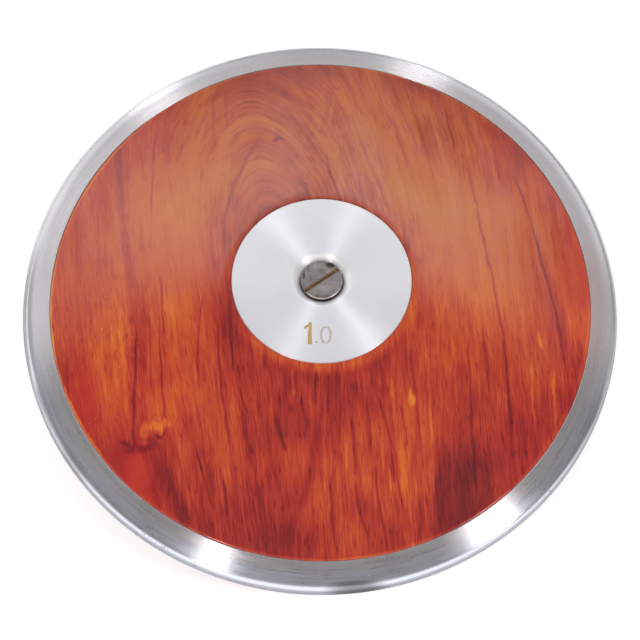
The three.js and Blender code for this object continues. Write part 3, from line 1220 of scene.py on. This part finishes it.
def centre_plate(name, hole, cutters):
    """The upper plate, with a countersink round the screw head and a hole for what goes through it."""
    bore = HEAD_OUTER + HEAD_GAP
    crown = []
    for step in range(PLATE_CROWN_STEPS - 1, PLATE_CROWN_FIRST_STEP - 1, -1):
        share = step / PLATE_CROWN_STEPS
        crown.append((PLATE_OUTER * share, FACE - PLATE_CROWN * share ** PLATE_CROWN_POWER, 0))
    corners = [
        (hole, PLATE_SEAT, 0),
        (PLATE_OUTER, PLATE_SEAT, SMALL_EASE),
        (PLATE_OUTER, FACE - PLATE_CROWN, PLATE_EASE),
        *crown,
        (bore + COUNTERSINK_WIDTH, FACE, COUNTERSINK_EASE),
        (bore, FACE - COUNTERSINK_DEPTH, BORE_EASE),
        (bore, HEAD_SEAT, 0),
        (hole, HEAD_SEAT, 0),
    ]
    plate = turned(name, eased(corners), TURN_STEPS)
    low = PLATE_SEAT - CUT_OVERRUN
    high = PLATE_PIN_HIGH + PIN_GAP
    return carve(plate, [plate_pin_cutter(low, high, place) for place in PLATE_PIN_PLACES] + cutters)


def slotted_bolt():
    corners = [
        (0, SHANK_END, 0),
        (SHANK_RADIUS, SHANK_END, SMALL_EASE),
        (SHANK_RADIUS, HEAD_SEAT, 0),
        (HEAD_OUTER, HEAD_SEAT, 0),
        (HEAD_OUTER, HEAD_TOP, HEAD_EASE),
        (0, HEAD_TOP, 0),
    ]
    bolt = turned("slotted_bolt", eased(corners, closed=False), HEAD_STEPS, closed=False)
    return carve(bolt, [slot_bar(HEAD_TOP + CUT_OVERRUN, HEAD_TOP - SEEN_SLOT_DEPTH, BOLT_SLOT_DEGREES)])


def slotted_sleeve_nut():
    """The sleeve nut, head down as it lies in the lower plate."""
    bore_floor = SHANK_END - BORE_SPARE
    corners = [
        (0, -HEAD_TOP, 0),
        (HEAD_OUTER, -HEAD_TOP, HEAD_EASE),
        (HEAD_OUTER, -HEAD_SEAT, 0),
        (BARREL_OUTER, -HEAD_SEAT, 0),
        (BARREL_OUTER, BARREL_TOP, SMALL_EASE),
        (NUT_BORE, BARREL_TOP, SMALL_EASE),
        (NUT_BORE, bore_floor, 0),
        (0, bore_floor, 0),
    ]
    nut = turned("slotted_sleeve_nut", eased(corners, closed=False), HEAD_STEPS, closed=False)
    return carve(nut, [slot_bar(-HEAD_TOP - CUT_OVERRUN, -HEAD_TOP + SEEN_SLOT_DEPTH, NUT_SLOT_DEGREES)])


def make_wood():
    upper = wood_half("upper_wood")
    upper_wood = lacquered_wood("upper_lacquered_wood", UPPER_PLANK)
    finish_piece(upper, upper_wood, "upper_wood_half")
    lower = turned_over(wood_half("lower_wood"))
    lower_wood = lacquered_wood("lower_lacquered_wood", LOWER_PLANK)
    finish_piece(lower, lower_wood, "lower_wood_half")


def make_plates():
    steel = plate_steel()
    upper = centre_plate("upper_plate", SHANK_RADIUS + RUNNING_GAP, numeral_cutters())
    finish_piece(upper, steel, "upper_centre_plate")
    lower = turned_over(centre_plate("lower_plate", TUBE_BORE, []))
    finish_piece(lower, steel, "lower_centre_plate")


def make_screws():
    steel = screw_steel()
    finish_piece(slotted_bolt(), steel, "centre_bolt")
    finish_piece(slotted_sleeve_nut(), steel, "sleeve_nut")


def dress_inner_nodes():
    """The hidden nodes keep their own meshes and get a steel."""
    ballast = ballast_steel()
    plain = inner_steel()
    for name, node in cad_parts.items():
        if "washer" in name:
            dress(node, ballast)
        if "pin" in name or name == "core_tube":
            dress(node, plain)


def make_object():
    finish_piece(rim_ring(), rim_steel(), "rim")
    make_wood()
    make_plates()
    make_screws()
    dress_inner_nodes()


# Floor, light and camera

# The camera: its distance and aim in metres, its angles, and its focal length in millimetres
CAMERA_DISTANCE = 0.5627
CAMERA_ELEVATION = math.radians(66.93)
CAMERA_ROLL = math.radians(2.41)
CAMERA_AIM = Vector((0, -5.04 * MM, 0))
CAMERA_LENS = 104.0

# The floor reaches this far from the origin, in metres.
FLOOR_HALF = 3.0
FLOOR_WHITE = (0.8, 0.8, 0.8)
FLOOR_GLOW = 0.45

# The strengths of the soft lights, and of the light from all round
ALL_ROUND_STRENGTH = 0.195
FAR_PANEL_STRENGTH = 1.8
WALL_STRENGTH = 1.15
LOW_BACK_STRENGTH = 0.3

# Lamps: name, direction, half the angle that it fills in degrees, strength
LAMP_DISTANCE = 2.5
LAMPS = [
    ("left_lamp", (-0.285, -0.43, 0.857), 1.8, 0.10),
    ("right_lamp", (0.518, -0.268, 0.81), 4.4, 0.15),
    ("back_right_lamp", (0.196, 0.925, 0.326), 4, 0.013),
    ("back_left_lamp", (-0.39, 0.844, 0.37), 4, 0.011),
]


def make_camera():
    data = bpy.data.cameras.new("camera")
    data.lens = CAMERA_LENS
    camera = new_object("camera", data)
    back = Vector((0, -math.cos(CAMERA_ELEVATION), math.sin(CAMERA_ELEVATION)))
    camera.location = CAMERA_AIM + back * CAMERA_DISTANCE
    turn = back.to_track_quat("Z", "Y").to_matrix() @ Matrix.Rotation(CAMERA_ROLL, 3, "Z")
    camera.rotation_euler = turn.to_euler()
    bpy.context.scene.camera = camera


def make_floor():
    shape = bmesh.new()
    far = FLOOR_HALF
    corners = [(-far, -far), (far, -far), (far, far), (-far, far)]
    shape.faces.new([shape.verts.new((x, y, -FACE)) for x, y in corners])
    floor = new_piece("floor", shape)
    material, shader, surface = new_surface("white_floor", Roughness=0.9, Specular_IOR_Level=0)
    shader.feed(surface, "Base Color", FLOOR_WHITE)
    shader.feed(surface, "Emission Color", (1, 1, 1))
    shader.feed(surface, "Emission Strength", seen_directly(shader) * FLOOR_GLOW)
    dress(floor, material)


def seen_directly(shader):
    """1 where the camera looks straight at the surface, and 0 for its light and reflections."""
    path = shader.node("ShaderNodeLightPath")
    return Field(shader, path.outputs["Is Camera Ray"])


def far_panel(side, back):
    """A broad soft light at the far side, with two brighter lobes and a dip low in its middle."""
    width = abs(side + 0.03)
    low_edge = (back + width * 0.15).rise(0.33, 0.9)
    high_edge = (back + width * 0.8).rise(2.05, 1.62)
    lobes = back.rise(1.0, 1.5) * width.within(0.04, 0.2, 0.4, 0.6) * 0.42
    dip = back.rise(0.6, 1.0) * width.rise(0.3, 0.08) * 0.2
    return low_edge * high_edge * width.rise(0.87, 0.74) * (1 + lobes - dip)


def side_walls(side, back):
    """Light from the near side, and from the left and right up to the far side."""
    front = (0 - back).rise(0.6, 1.15) * 1.25
    left = (0 - side).rise(0.78, 1.05) * (back.rise(0.05, 0.5) * 0.87 + back.rise(0.7, 1.1) * 0.2 + 0.35)
    right = side.rise(0.75, 1.05) * (back.rise(0.15, 0.7) * 0.4 + 0.12)
    return front.at_least(left).at_least(right) * back.rise(1.7, 1.2)


def make_world():
    """A white room of soft light. side and back are how far a direction leans right and away."""
    world = bpy.data.worlds.new("studio")
    bpy.context.scene.world = world
    world.use_nodes = True
    shader = Shader(world.node_tree)
    background = world.node_tree.nodes["Background"]
    coordinates = shader.node("ShaderNodeTexCoord")
    x, y, z = shader.split(Field(shader, coordinates.outputs["Generated"]))
    height = z.at_least(0.02)
    side = x / height
    back = y / height
    low_back = back.rise(1.8, 2.5) * (0 - side).rise(0, 2)
    light = ALL_ROUND_STRENGTH + far_panel(side, back) * FAR_PANEL_STRENGTH
    light = light + side_walls(side, back) * WALL_STRENGTH + low_back * LOW_BACK_STRENGTH
    shader.feed(background, "Color", (1, 1, 1))
    shader.feed(background, "Strength", light + seen_directly(shader) * (1 - light))


def make_lamps():
    for name, direction, half_degrees, share in LAMPS:
        data = bpy.data.lights.new(name, "AREA")
        data.shape = "DISK"
        data.size = 2 * LAMP_DISTANCE * math.tan(math.radians(half_degrees))
        towards = Vector(direction).normalized()
        data.energy = share * math.pi * math.pi * LAMP_DISTANCE ** 2 / towards.z
        lamp = new_object(name, data)
        lamp.location = towards * LAMP_DISTANCE
        lamp.rotation_euler = towards.to_track_quat("Z", "Y").to_euler()


make_camera()
make_floor()
make_world()
make_lamps()
make_object()

bpy.context.scene.view_settings.view_transform = "Standard"
